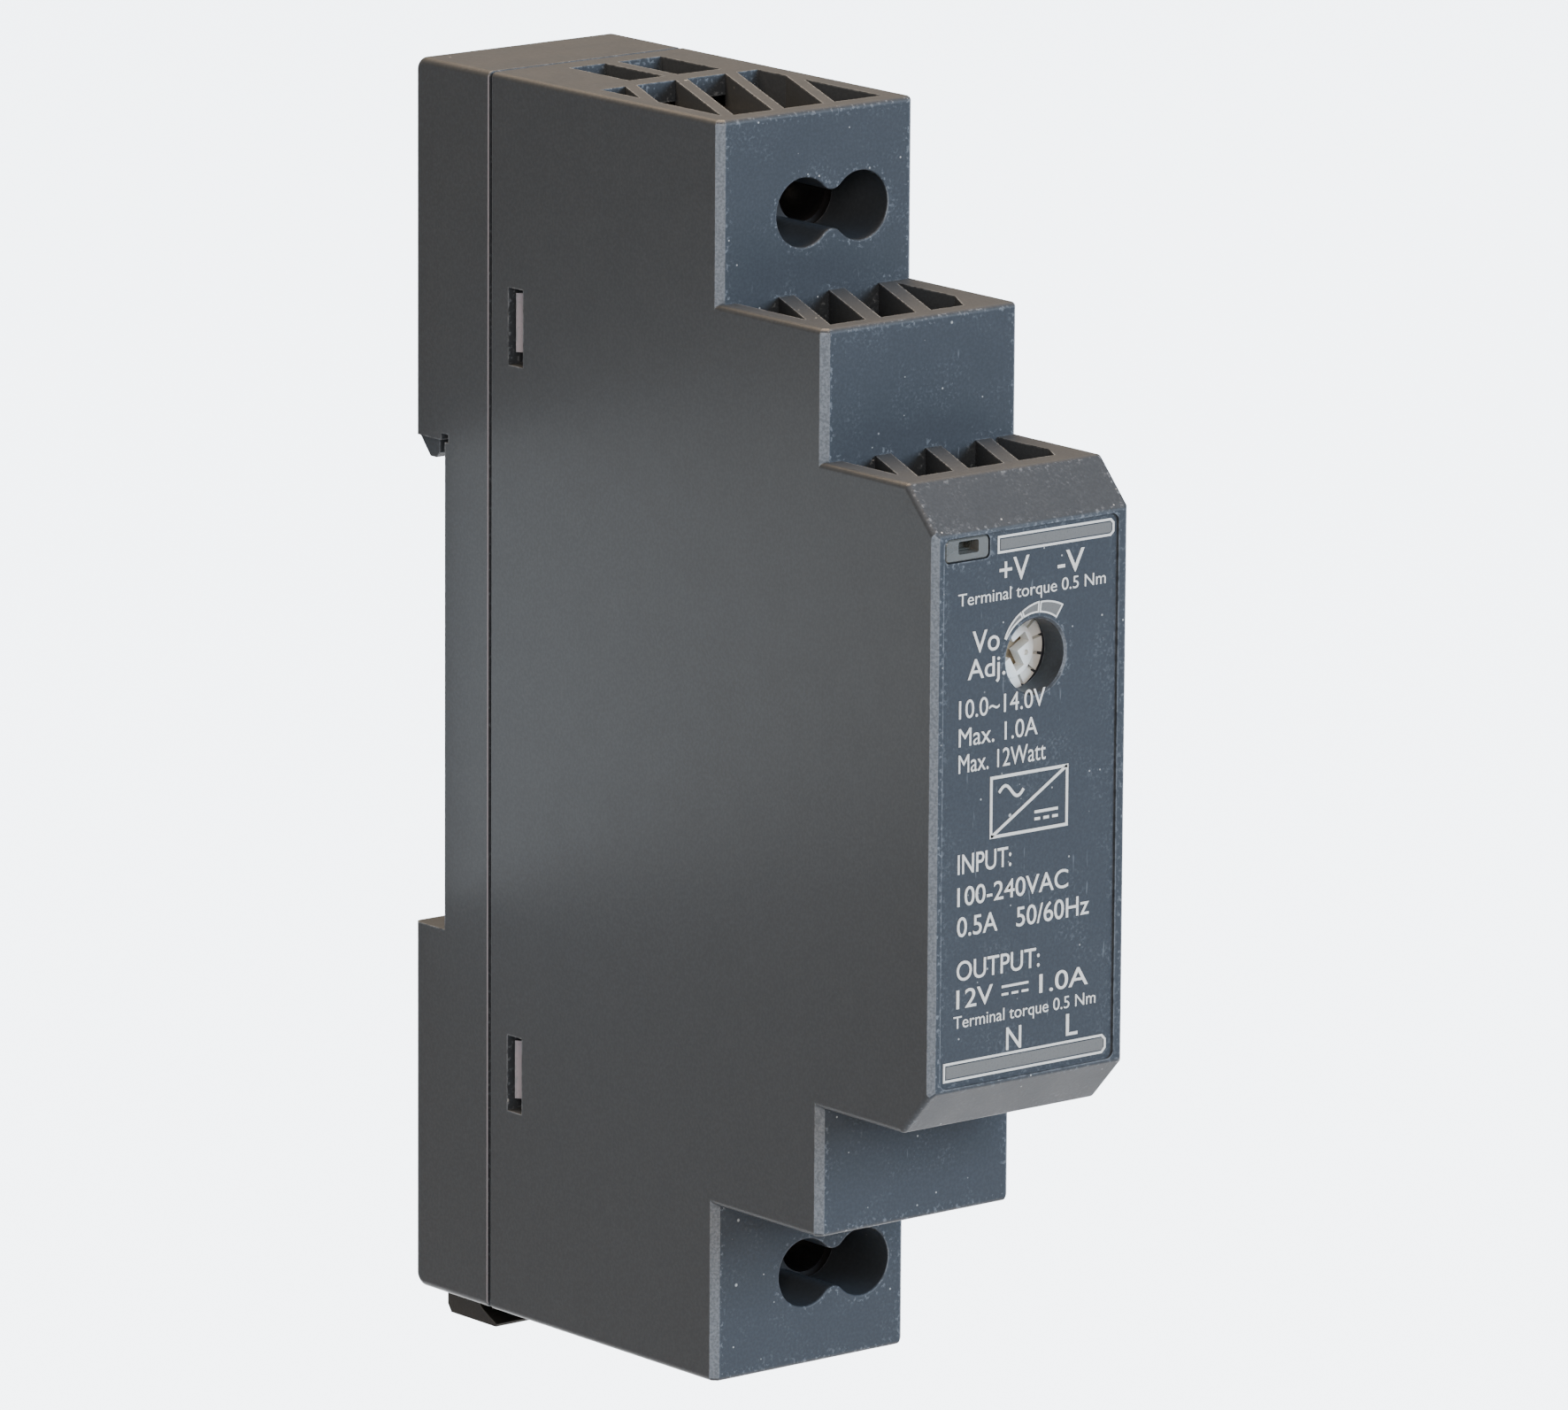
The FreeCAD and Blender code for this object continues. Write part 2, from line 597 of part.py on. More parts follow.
def wound_ring(inset, wall, z_half):
    """Rounded rectangular ring around the bobbin's tube."""
    x_range = (core_x[0] - bobbin_wall - inset - wall, core_x[1] + bobbin_wall + inset + wall)
    reach = centre_leg_half + bobbin_wall + inset + wall
    y_range = (transformer_y - reach, transformer_y + reach)
    outer = block(x_range, y_range, (-z_half, z_half))
    outer = soften(outer, 1.2, lambda middle, along: abs(along.z) > 0.9)
    hole = block((x_range[0] + wall, x_range[1] - wall), (y_range[0] + wall, y_range[1] - wall), (-9, 9))
    if wall < 1.0:
        hole = soften(hole, 1.2 - wall, lambda middle, along: abs(along.z) > 0.9)
    return outer.cut(hole)


def choke_core():
    """Ring core of the line choke, standing on the board."""
    x, y, z = choke_centre
    outer = rod(choke_radius, (x, y, z - choke_half_height), (x, y, z + choke_half_height))
    hole = rod(choke_hole_radius, (x, y, z - 3), (x, y, z + 3))
    return outer.cut(hole)


def choke_windings():
    """Two wound sectors of the line choke, each one turn after another around the ring."""
    turns = []
    ring_radius = (choke_radius + choke_hole_radius) / 2
    for side in (-1, 1):
        for index in range(turns_per_side):
            angle = math.radians(90 * side + (index - turns_per_side // 2) * turn_spacing)
            outward = FreeCAD.Vector(math.cos(angle), math.sin(angle), 0)
            middle = FreeCAD.Vector(*choke_centre) + outward * ring_radius
            turn = Part.makeBox(2.9, 0.62, 5.2, FreeCAD.Vector(-1.45, -0.31, -2.6))
            core_gap = Part.makeBox(2.3, 2, 4.5, FreeCAD.Vector(-1.15, -1, -2.25))
            turn = turn.cut(core_gap)
            turn.rotate(FreeCAD.Vector(0, 0, 0), FreeCAD.Vector(0, 0, 1), math.degrees(angle))
            turn.translate(middle)
            turns.append(turn)
    return Part.makeCompound(turns)


def chip_case(x_range, y_range, z_range, leg_count):
    """Moulded case with rows of flat legs on its two short sides."""
    case = block(x_range, y_range, z_range)
    legs = []
    pitch = (z_range[1] - z_range[0]) / leg_count
    for index in range(leg_count):
        z = z_range[0] + (index + 0.5) * pitch
        for y, outward in ((y_range[0], -1), (y_range[1], 1)):
            knee_x = x_range[0] + 1.3
            legs.append(block((x_range[0] + 1.0, knee_x), sorted((y - outward * 0.2, y + outward * 0.8)),
                              (z - 0.5, z + 0.5)))
            legs.append(block((board_face_x, knee_x), sorted((y + outward * 0.5, y + outward * 0.8)),
                              (z - 0.25, z + 0.25)))
    return fuse([case] + legs)


def disc_part(thickness, centre_x, centre_y, centre_z, along_y):
    """Dipped disc standing on its edge on two legs."""
    direction = (0, thickness / 2, 0) if along_y else (0, 0, thickness / 2)
    centre = (centre_x, centre_y, centre_z)
    start = tuple(value - shift for value, shift in zip(centre, direction))
    end = tuple(value + shift for value, shift in zip(centre, direction))
    disc = rod(disc_radius, start, end)
    disc = disc.makeFillet(thickness * 0.35, [edge for edge in disc.Edges if len(edge.Vertexes) == 1])
    if along_y:
        places = [(centre_y, centre_z + side * disc_lead_spread) for side in (-1, 1)]
    else:
        places = [(centre_y + side * disc_lead_spread, centre_z) for side in (-1, 1)]
    return fuse([disc] + leads(places, centre_x))


def filter_capacitor():
    """Boxed film capacitor across the mains input."""
    case = block((-4.7, 6.2), (-29.2, -24.2), (-30.6, -20.4))
    return fuse([case] + leads([(-26.7, -29.0), (-26.7, -22.0)], -4.0))


def fuse_link():
    """Tubular fuse with metal end caps, lying along Z."""
    x, y = -2.7, -38.2
    tube = rod(fuse_radius, (x, y, -28.0), (x, y, -22.0))
    caps = [rod(fuse_cap_radius, (x, y, z), (x, y, z + fuse_cap_length)) for z in (-28.4, -23.1)]
    return fuse([tube] + caps + leads([(y, -27.6), (y, -22.4)], x))


def output_choke():
    """Drum-core choke standing on the board, with its winding between two flanges."""
    y, z = -35.0, 24.0
    flanges = [rod(drum_radius, (x, y, z), (x + 1.0, y, z)) for x in (-4.8, 2.0)]
    winding = rod(drum_winding_radius, (-4.0, y, z), (2.2, y, z))
    return fuse(flanges + [winding] + leads([(y - 2, z), (y + 2, z)], -4.0))


def output_rectifier():
    """Flat rectifier with its metal tab soldered to the board."""
    case = block((-4.9, -2.7), (-26.5, -20.5), (12.0, 18.0))
    tab = block((board_face_x, -4.6), (-26.0, -21.0), (17.8, 20.4))
    legs = [block((board_face_x, -4.4), (y - 0.4, y + 0.4), (10.2, 12.4)) for y in (-25.2, -21.8)]
    return fuse([case, tab] + legs)


def chip_parts():
    """Small ceramic parts soldered flat on the board."""
    chips = []
    places = [(-8.0, z) for z in (-4.0, 0.0, 4.0, 8.0)] + [(-20.0, z) for z in (23.0, 26.0)]
    places += [(-14.0, z) for z in (18.5, 21.5, 24.5)]
    places += [(-48.5, 3.5), (-46.0, 3.5), (-29.6, 4.5), (-11.0, -31.0)]
    for y, z in places:
        chips.append(block((board_face_x, board_face_x + 0.7), (y - 1.0, y + 1.0), (z - 0.6, z + 0.6)))
    return Part.makeCompound(chips)


# ---- front parts --------------------------------------------------------------------------

def light_window():
    """Clear lens in the panel, with a light guide down to the diode."""
    gap = 0.05
    lens = block((light_left_x + gap, light_right_x - gap),
                 (front_y + panel_depth + 0.1, front_y + front_wall), (light_low_z + gap, light_high_z - gap))
    lens = soften(lens, 0.35, lambda middle, along: abs(along.y) > 0.9)
    guide = block((-7.1, -4.1), (front_y + front_wall - 0.2, board_front_y - 0.5), (17.75, 18.95))
    return fuse([lens, guide])


def status_diode():
    """Side-looking light-emitting diode at the board's front edge."""
    case = block((board_face_x, -4.1), (board_front_y - 0.3, -48.8), (17.6, 19.1))
    dome = rod(0.45, (-4.6, board_front_y - 0.3, 18.35), (-4.6, board_front_y - 0.42, 18.35))
    return fuse([case, dome])


def trimmer_body():
    """Square body of the output trimmer, with the well its rotor turns in."""
    body = block((trimmer_x - trimmer_half, trimmer_x + trimmer_half), (trimmer_front_y, trimmer_rear_y),
                 (trimmer_z - trimmer_half, trimmer_z + trimmer_half))
    body = soften(body, 0.4, lambda middle, along: abs(along.y) > 0.9)
    well = rod(rotor_radius + 0.05, (trimmer_x, trimmer_front_y - 1, trimmer_z),
               (trimmer_x, rotor_rear_y + 0.1, trimmer_z))
    legs = leads([(-48.4, trimmer_z - 2.5), (-48.4, trimmer_z + 2.5), (-49.9, trimmer_z)], trimmer_x - 3.2)
    return body.cut(well).multiFuse(legs).removeSplitter()


def trimmer_rotor():
    """White adjusting disc: raised hub with a cross slot and index dot, petalled rim and hollow back."""
    hub = rod(rotor_hub_radius, (trimmer_x, rotor_face_y, trimmer_z), (trimmer_x, rotor_rear_y, trimmer_z))
    rim = rod(rotor_radius, (trimmer_x, rotor_face_y + 0.3, trimmer_z), (trimmer_x, rotor_rear_y, trimmer_z))
    hollow = rod(1.75, (trimmer_x, rotor_face_y + 0.9, trimmer_z), (trimmer_x, rotor_rear_y + 1, trimmer_z))
    cuts = [hollow]
    for index in range(4):
        arm = block((-0.4, 1.6), (rotor_face_y - 1, rotor_face_y + 1), (-0.4, 0.4))
        cuts.append(turned(arm, rotor_slot_angle + 90 * index))
    dot = rod(0.22, (1.35, rotor_face_y - 1, 0), (1.35, rotor_face_y + 0.3, 0))
    cuts.append(turned(dot, rotor_slot_angle - 45))
    for index in range(rotor_petals):
        notch = block((rotor_hub_radius + 0.1, 4.0), (rotor_face_y - 1, rotor_face_y + 0.75), (-0.11, 0.11))
        cuts.append(turned(notch, (index + 0.5) * 360 / rotor_petals))
    return hub.fuse(rim).cut(cuts)


def turned(shape, angle):
    """Shape drawn about the Y axis, turned anticlockwise seen from the front, set on the trimmer's axis."""
    shape.rotate(FreeCAD.Vector(0, 0, 0), FreeCAD.Vector(0, -1, 0), angle)
    shape.translate(FreeCAD.Vector(trimmer_x, 0, trimmer_z))
    return shape


def trimmer_wiper():
    """Brass contact disc carried inside the rotor."""
    return rod(1.7, (trimmer_x, rotor_face_y + 0.95, trimmer_z), (trimmer_x, rotor_face_y + 1.4, trimmer_z))


def build_terminals():
    """Both terminal blocks with the screw, cage and contact bar of every pole."""
    poles = (("plus", output_axis_x, output_axis_z, 0), ("minus", output_axis_x, output_axis_z, 1),
             ("neutral", input_axis_x, input_axis_z, 0), ("line", input_axis_x, input_axis_z, 1))
    save("output_terminal_block", terminal_block(output_axis_x, output_axis_z))
    save("input_terminal_block", terminal_block(input_axis_x, input_axis_z))
    for name, axis_x, axis_z, index in poles:
        save("contact_bar_" + name, contact_bar(axis_x, axis_z, index))
        save("clamp_cage_" + name, clamp_cage(axis_x, axis_z, index))
        save("clamp_screw_" + name, clamp_screw(axis_x, axis_z, index))


def build_electronics():
    """Everything soldered to the board."""
    save("main_board", main_board())
    save("transformer_core", transformer_core())
    save("transformer_bobbin", transformer_bobbin())
    save("transformer_winding", wound_ring(0.02, winding_depth, 4.1))
    save("transformer_tape", wound_ring(winding_depth + 0.04, tape_thickness, 3.9))
    save("bulk_capacitor_front", can_capacitor(*bulk_can, -45.6, bulk_low_z, 0.0))
    save("bulk_capacitor_rear", can_capacitor(*bulk_can, -35.0, bulk_low_z, 0.0))
    save("output_capacitor_front", can_capacitor(*output_can, -42.6, output_low_z, -0.9))
    save("output_capacitor_rear", can_capacitor(*output_can, -33.8, output_low_z, -0.9))
    save("line_choke_core", choke_core())
    save("line_choke_windings", choke_windings())
    save("filter_capacitor", filter_capacitor())
    save("varistor", disc_part(3.0, -1.2, -32.6, -26.0, True))
    save("safety_capacitor", disc_part(2.6, -1.2, -13.0, 12.0, False))
    save("fuse_link", fuse_link())
    save("bridge_rectifier", chip_case((-4.9, -1.7), (-28.0, -22.0), (-18.0, -10.2), 2))
    save("switching_controller", chip_case((-4.7, -1.4), (-17.5, -11.0), (-19.0, -9.8), 4))
    save("optocoupler", chip_case((-4.7, -1.2), (-29.0, -24.6), (23.0, 28.0), 2))
    save("output_rectifier", output_rectifier())
    save("output_choke", output_choke())
    save("chip_parts", chip_parts())


def main():
    """Write every node."""
    os.makedirs("parts", exist_ok=True)
    save("front_housing", front_housing())
    save("rear_base", rear_base())
    save("rail_latch", rail_latch())
    save("latch_spring", latch_spring())
    build_terminals()
    build_electronics()
    save("light_window", light_window())
    save("status_diode", status_diode())
    save("trimmer_body", trimmer_body())
    save("trimmer_rotor", trimmer_rotor())
    save("trimmer_wiper", trimmer_wiper())


main()
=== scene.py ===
import math

import bmesh
import bpy
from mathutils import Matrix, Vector


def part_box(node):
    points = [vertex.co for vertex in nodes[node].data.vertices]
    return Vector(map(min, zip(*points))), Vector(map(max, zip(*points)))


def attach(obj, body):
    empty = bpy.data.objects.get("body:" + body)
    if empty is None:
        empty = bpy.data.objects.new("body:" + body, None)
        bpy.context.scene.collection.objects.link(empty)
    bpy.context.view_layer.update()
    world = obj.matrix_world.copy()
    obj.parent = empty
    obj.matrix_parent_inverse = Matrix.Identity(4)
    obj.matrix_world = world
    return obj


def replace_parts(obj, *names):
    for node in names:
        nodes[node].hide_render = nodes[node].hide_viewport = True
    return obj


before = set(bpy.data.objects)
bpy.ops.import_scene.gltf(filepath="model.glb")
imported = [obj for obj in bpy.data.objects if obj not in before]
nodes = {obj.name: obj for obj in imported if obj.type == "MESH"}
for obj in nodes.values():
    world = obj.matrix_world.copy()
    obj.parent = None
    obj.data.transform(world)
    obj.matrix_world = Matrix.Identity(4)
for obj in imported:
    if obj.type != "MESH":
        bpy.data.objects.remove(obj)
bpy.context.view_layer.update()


def mm(value):
    """Millimetres to metres."""
    return value / 1000


def in_mm(value):
    """Metres to millimetres."""
    return value * 1000


# ---- places taken from the frame -----------------------------------------------------------

housing_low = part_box("front_housing")[0]
lens_low, lens_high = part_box("light_window")
rotor_low, rotor_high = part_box("trimmer_rotor")
panel_depth = 0.2
panel_y = in_mm(housing_low[1]) + panel_depth
dial_x = in_mm(rotor_low[0] + rotor_high[0]) / 2
dial_z = in_mm(rotor_low[2] + rotor_high[2]) / 2

# ---- printed panel, mm ---------------------------------------------------------------------

ink_thickness = 0.03
thin_line = 0.14
bar_line = 0.17
sign_line = 0.2
symbol_line = 0.22
margin_left = -6.35

# ---- sizes of the light window, mm ---------------------------------------------------------

lens_proud = 0.08
lens_corner = 0.35
lens_bevel = 0.1
pocket_left, pocket_right = 1.3, 2.85
pocket_low, pocket_top_margin = 0.62, 0.25
pocket_depth = 1.4

# ---- the room, metres ----------------------------------------------------------------------

floor_z = -0.25
floor_size = 30
ambient_strength = 0.24


# ---- small node-building helpers -----------------------------------------------------------

class Paint:
    """One material, built from short calls. Textures follow the object's own coordinates."""

    def __init__(self, name, roughness=0.5, **values):
        self.material = bpy.data.materials.new(name)
        self.material.use_nodes = True
        self.tree = self.material.node_tree
        self.shader = self.tree.nodes["Principled BSDF"]
        self.place = self.tree.nodes.new("ShaderNodeTexCoord").outputs["Object"]
        self.shader.inputs["Roughness"].default_value = roughness
        for socket, value in values.items():
            self.shader.inputs[socket.replace("_", " ")].default_value = value

    def put(self, socket, value):
        """Link a socket, or set its value."""
        if isinstance(value, bpy.types.NodeSocket):
            self.tree.links.new(value, socket)
        else:
            socket.default_value = value

    def set(self, socket, value):
        """Give one of the shader's inputs."""
        self.put(self.shader.inputs[socket], value)

    def noise(self, size, detail=2.0, stretch=(1, 1, 1)):
        """Noise with features of about that size in mm, longer along the stretched axes."""
        mapping = self.tree.nodes.new("ShaderNodeMapping")
        self.put(mapping.inputs["Vector"], self.place)
        mapping.inputs["Scale"].default_value = [1 / value for value in stretch]
        node = self.tree.nodes.new("ShaderNodeTexNoise")
        self.put(node.inputs["Vector"], mapping.outputs[0])
        node.inputs["Scale"].default_value = 1000 / size
        node.inputs["Detail"].default_value = detail
        return node.outputs[0]

    def math(self, operation, first, second=0.0):
        """One step of arithmetic."""
        node = self.tree.nodes.new("ShaderNodeMath")
        node.operation = operation
        self.put(node.inputs[0], first)
        self.put(node.inputs[1], second)
        return node.outputs[0]

    def span(self, value, low, high, to_low=0.0, to_high=1.0):
        """Value remapped from low...high, smooth and held at both ends."""
        node = self.tree.nodes.new("ShaderNodeMapRange")
        node.interpolation_type = "SMOOTHSTEP"
        for socket, given in zip(("Value", "From Min", "From Max", "To Min", "To Max"),
                                 (value, low, high, to_low, to_high)):
            self.put(node.inputs[socket], given)
        return node.outputs[0]

    def mix(self, factor, first, second):
        """Blend of two colours."""
        node = self.tree.nodes.new("ShaderNodeMix")
        node.data_type = "RGBA"
        for index, value in ((0, factor), (6, first), (7, second)):
            if isinstance(value, tuple):
                value = (*value, 1)
            self.put(node.inputs[index], value)
        return node.outputs[2]

    def facing(self, direction):
        """Cosine between the surface and a direction of the CAD frame."""
        geometry = self.tree.nodes.new("ShaderNodeNewGeometry")
        dot = self.tree.nodes.new("ShaderNodeVectorMath")
        dot.operation = "DOT_PRODUCT"
        self.put(dot.inputs[0], geometry.outputs["Normal"])
        dot.inputs[1].default_value = Vector(direction).normalized()
        return dot.outputs["Value"]

    def edges(self, radius, low, high):
        """1 at the edges and 0 on the flats: how far a normal rounded over the radius leans over."""
        bevel = self.tree.nodes.new("ShaderNodeBevel")
        bevel.samples = 4
        bevel.inputs["Radius"].default_value = mm(radius)
        geometry = self.tree.nodes.new("ShaderNodeNewGeometry")
        dot = self.tree.nodes.new("ShaderNodeVectorMath")
        dot.operation = "DOT_PRODUCT"
        self.put(dot.inputs[0], bevel.outputs[0])
        self.put(dot.inputs[1], geometry.outputs["Normal"])
        return self.span(self.math("SUBTRACT", 1.0, dot.outputs["Value"]), low, high)

    def openness(self, reach, low, high):
        """0 in inner corners and 1 in the open."""
        node = self.tree.nodes.new("ShaderNodeAmbientOcclusion")
        node.samples = 4
        node.inputs["Distance"].default_value = mm(reach)
        return self.span(node.outputs["AO"], low, high)

    def specks(self, spacing, radius, share):
        """Round specks scattered in space; share is the part of the cells that holds one."""
        node = self.tree.nodes.new("ShaderNodeTexVoronoi")
        self.put(node.inputs["Vector"], self.place)
        node.inputs["Scale"].default_value = 1000 / spacing
        near = self.span(node.outputs["Distance"], radius / spacing, radius / spacing * 0.5)
        chance = self.tree.nodes.new("ShaderNodeSeparateColor")
        self.put(chance.inputs[0], node.outputs["Color"])
        chosen = self.math("LESS_THAN", chance.outputs[0], share)
        return self.math("MULTIPLY", near, chosen)

    def bump(self, height, depth, strength=1.0):
        """Relief of that depth in mm, laid over any relief given before."""
        node = self.tree.nodes.new("ShaderNodeBump")
        node.inputs["Strength"].default_value = strength
        node.inputs["Distance"].default_value = mm(depth)
        self.put(node.inputs["Height"], height)
        if self.shader.inputs["Normal"].is_linked:
            self.put(node.inputs["Normal"], self.shader.inputs["Normal"].links[0].from_socket)
        self.put(self.shader.inputs["Normal"], node.outputs[0])


def scaled(colour, factor):
    """A colour made darker or lighter."""
    return tuple(min(1.0, value * factor) for value in colour)


def either(paint, *masks):
    """The largest of several masks."""
    result = masks[0]
    for mask in masks[1:]:
        result = paint.math("MAXIMUM", result, mask)
    return result


# ---- materials -----------------------------------------------------------------------------

dust_colour = (0.36, 0.37, 0.37)
wave_divisor = 6.28


def shell_plastic(name, base, worn_and_highlight, dust_share, slope_highlight_colour=None):
    """Spark-eroded grey moulding: fine grain, worn arrises with painted edge highlights, slanted faces painted
    pale as a highlight, painted shade in inner corners, dust and scuffs.
    """
    paint = Paint(name, Specular_IOR_Level=0.17)
    cloud = paint.noise(14.0, 3.0)
    patch = paint.noise(3.0, 4.0)
    grain = paint.noise(0.22, 2.0)
    colour = paint.mix(cloud, scaled(base, 0.97), scaled(base, 1.03))
    colour = paint.mix(paint.span(grain, 0.35, 0.7), colour, scaled(base, 1.16))
    front = paint.span(paint.facing((0, -1, 0)), 0.45, 0.75)
    open_air = paint.openness(0.45, 0.5, 0.9)
    # Edge line: partly real edge wear, partly a painted highlight on the arrises and recess walls.
    line = paint.math("MULTIPLY", paint.edges(0.22, 0.03, 0.16),
                      paint.span(paint.noise(0.5, 3.0), 0.3, 0.62))
    # Painted highlight: faces slanted to the front left and front right are made paler, as if they catch the
    # light. On the housing this is in speckles.
    slope_highlight = either(paint, paint.span(paint.facing((-1, -1, 0)), 0.9, 0.97),
                   paint.span(paint.facing((1, -1, 0)), 0.9, 0.97))
    flecks = paint.math("MULTIPLY", paint.edges(1.2, 0.0, 0.05),
                        paint.span(paint.noise(0.33, 4.0), 0.55, 0.66, 0, 0.9))
    flecks = paint.math("MULTIPLY", flecks, front)
    # Real edge wear and scuff flecks joined with painted highlights, all shown in the worn colour.
    wear_and_highlight = either(paint, line, flecks)
    if slope_highlight_colour is None:
        speckled = paint.span(paint.noise(0.17, 3.0), 0.35, 0.68, 0.5, 0.95)
        wear_and_highlight = either(paint, wear_and_highlight, paint.math("MULTIPLY", slope_highlight, speckled))
    else:
        colour = paint.mix(slope_highlight, colour, slope_highlight_colour)
    wear_and_highlight = paint.math("MULTIPLY", wear_and_highlight, open_air)
    colour = paint.mix(wear_and_highlight, colour, worn_and_highlight)
    # Painted shade: inner corners are darkened towards 0.35 of the base colour, by up to 12 percent.
    colour = paint.mix(paint.span(open_air, 0, 1, 0.12, 0.0), colour, scaled(base, 0.35))
    haze = paint.math("MULTIPLY", paint.span(paint.noise(3.5, 3.0), 0.45, 0.7),
                      paint.span(paint.noise(0.24, 3.0), 0.5, 0.72))
    colour = paint.mix(paint.math("MULTIPLY", haze, paint.span(front, 0, 1, 0.03, 0.22)), colour, worn_and_highlight)
    share = paint.math("ADD", paint.math("MULTIPLY", front, dust_share), dust_share * 0.05)
    dust = either(paint, paint.specks(0.9, 0.09, share), paint.specks(2.3, 0.16, share))
    scuffs = paint.math("MULTIPLY", paint.span(paint.noise(0.5, 2.0, (1, 1, 7)), 0.72, 0.77), front)
    colour = paint.mix(paint.math("MULTIPLY", scuffs, 0.35), colour, worn_and_highlight)
    colour = paint.mix(paint.math("MULTIPLY", dust, 0.7), colour, dust_colour)
    paint.set("Base Color", colour)
    shine = paint.math("ADD", paint.span(patch, 0.3, 0.7, 0.36, 0.42), paint.math("MULTIPLY", wear_and_highlight, 0.25))
    paint.set("Roughness", paint.math("ADD", shine, paint.math("MULTIPLY", dust, 0.3)))
    paint.bump(grain, 0.012, 0.5)
    paint.bump(patch, 0.02, 0.12)
    paint.bump(wear_and_highlight, 0.02, 0.3)
    return paint.material


def simple_plastic(name, base, roughness, grain_size=0.15, **values):
    """Small moulding: cloudy colour, fine grain, dulled edges."""
    paint = Paint(name, **values)
    grain = paint.noise(grain_size, 3.0)
    colour = paint.mix(paint.noise(1.5, 3.0), scaled(base, 0.85), scaled(base, 1.12))
    colour = paint.mix(paint.math("MULTIPLY", paint.edges(0.08, 0.03, 0.2), 0.5), colour, scaled(base, 1.6))
    paint.set("Base Color", colour)
    paint.set("Roughness", paint.span(grain, 0.3, 0.7, roughness - 0.06, roughness + 0.08))
    paint.bump(grain, 0.008, 0.5)
    return paint.material


def plated_metal(name, base, roughness, stretch=(1, 1, 1)):
    """Plated metal: fine tool marks, patchy tarnish, brighter rubbed edges."""
    paint = Paint(name, Metallic=1.0)
    marks = paint.noise(0.12, 3.0, stretch)
    tarnish = paint.span(paint.noise(0.9, 4.0), 0.45, 0.75)
    colour = paint.mix(tarnish, base, scaled(base, 0.62))
    colour = paint.mix(paint.edges(0.06, 0.03, 0.2), colour, scaled(base, 1.25))
    paint.set("Base Color", colour)
    paint.set("Roughness", paint.math("ADD", paint.math("MULTIPLY", tarnish, 0.2),
                                      paint.span(marks, 0.3, 0.7, roughness - 0.07, roughness + 0.1)))
    paint.bump(marks, 0.006, 0.5)
    return paint.material


def circuit_board(name):
    """Glass-fibre board: green mask over copper tracks, with a woven grain."""
    paint = Paint(name)
    tracks = paint.span(paint.noise(2.2, 0.0, (1, 1, 2.5)), 0.5, 0.53)
    weave = paint.noise(0.2, 1.0, (1, 1, 3))
    colour = paint.mix(tracks, (0.012, 0.07, 0.03), (0.02, 0.12, 0.045))
    paint.set("Base Color", paint.mix(paint.span(weave, 0.4, 0.7, 0, 0.35), colour, (0.05, 0.16, 0.08)))
    paint.set("Roughness", paint.span(weave, 0.3, 0.7, 0.28, 0.42))
    paint.bump(tracks, 0.03, 0.8)
    return paint.material


def wound_wire(name, base, pitch, axis):
    """Lacquered winding: round turns side by side along one axis, with painted shade in the grooves between
    them.
    """
    paint = Paint(name, Coat_Weight=0.6, Coat_Roughness=0.1)
    wave = paint.tree.nodes.new("ShaderNodeTexWave")
    wave.bands_direction = axis
    paint.put(wave.inputs["Vector"], paint.place)
    wave.inputs["Scale"].default_value = 1000 / pitch / wave_divisor
    wave.inputs["Distortion"].default_value = 0.3
    turns = wave.outputs["Fac"]
    lacquer = paint.mix(paint.noise(0.6), base, scaled(base, 1.3))
    # Painted shade: the grooves between turns are darkened to 0.35 of the base colour.
    paint.set("Base Color", paint.mix(turns, scaled(base, 0.35), lacquer))
    paint.set("Roughness", paint.span(paint.noise(0.3), 0.3, 0.7, 0.25, 0.4))
    paint.bump(turns, 0.12)
    return paint.material


def ink(name, colour):
    """Pad-printed ink: thin, slightly broken over the grain."""
    paint = Paint(name)
    grain = paint.noise(0.12, 3.0)
    printed = paint.mix(paint.span(grain, 0.5, 0.75, 0.0, 0.45), colour, scaled(colour, 0.5))
    paint.set("Base Color", paint.mix(paint.noise(2.5), printed, colour))
    paint.set("Roughness", paint.span(grain, 0.3, 0.7, 0.5, 0.65))
    paint.bump(grain, 0.006, 0.6)
    return paint.material


def clear_plastic(name):
    """Clear moulding with flow lines and fine surface haze."""
    paint = Paint(name, Transmission_Weight=0.45, IOR=1.49)
    flow = paint.noise(1.2, 1.0, (3, 1, 1))
    haze = paint.noise(0.5, 2.0)
    paint.set("Base Color", paint.mix(flow, (0.09, 0.095, 0.09), (0.17, 0.175, 0.17)))
    paint.set("Roughness", paint.span(haze, 0.3, 0.7, 0.12, 0.24))
    paint.bump(flow, 0.02, 0.3)
    return paint.material


shell_base = (0.0275, 0.0325, 0.0390)
shell_worn_and_highlight = (0.13, 0.147, 0.168)
housing_paint = shell_plastic("housing_grain", shell_base, shell_worn_and_highlight, 0.3)
base_paint = shell_plastic("base_grain", shell_base, shell_worn_and_highlight, 0.1, (0.20, 0.19, 0.22))
latch_paint = shell_plastic("latch_grain", (0.014, 0.013, 0.012), (0.06, 0.06, 0.055), 0.1)
black_paint = simple_plastic("block_black", (0.006, 0.006, 0.007), 0.45)
nickel_paint = plated_metal("nickel_plate", (0.60, 0.58, 0.54), 0.3)
tin_paint = plated_metal("tinned_brass", (0.62, 0.60, 0.55), 0.36)
brass_paint = plated_metal("brass", (0.30, 0.245, 0.17), 0.42)
steel_paint = plated_metal("spring_steel", (0.42, 0.42, 0.42), 0.28)
ink_paint = ink("panel_ink", (0.47, 0.465, 0.44))
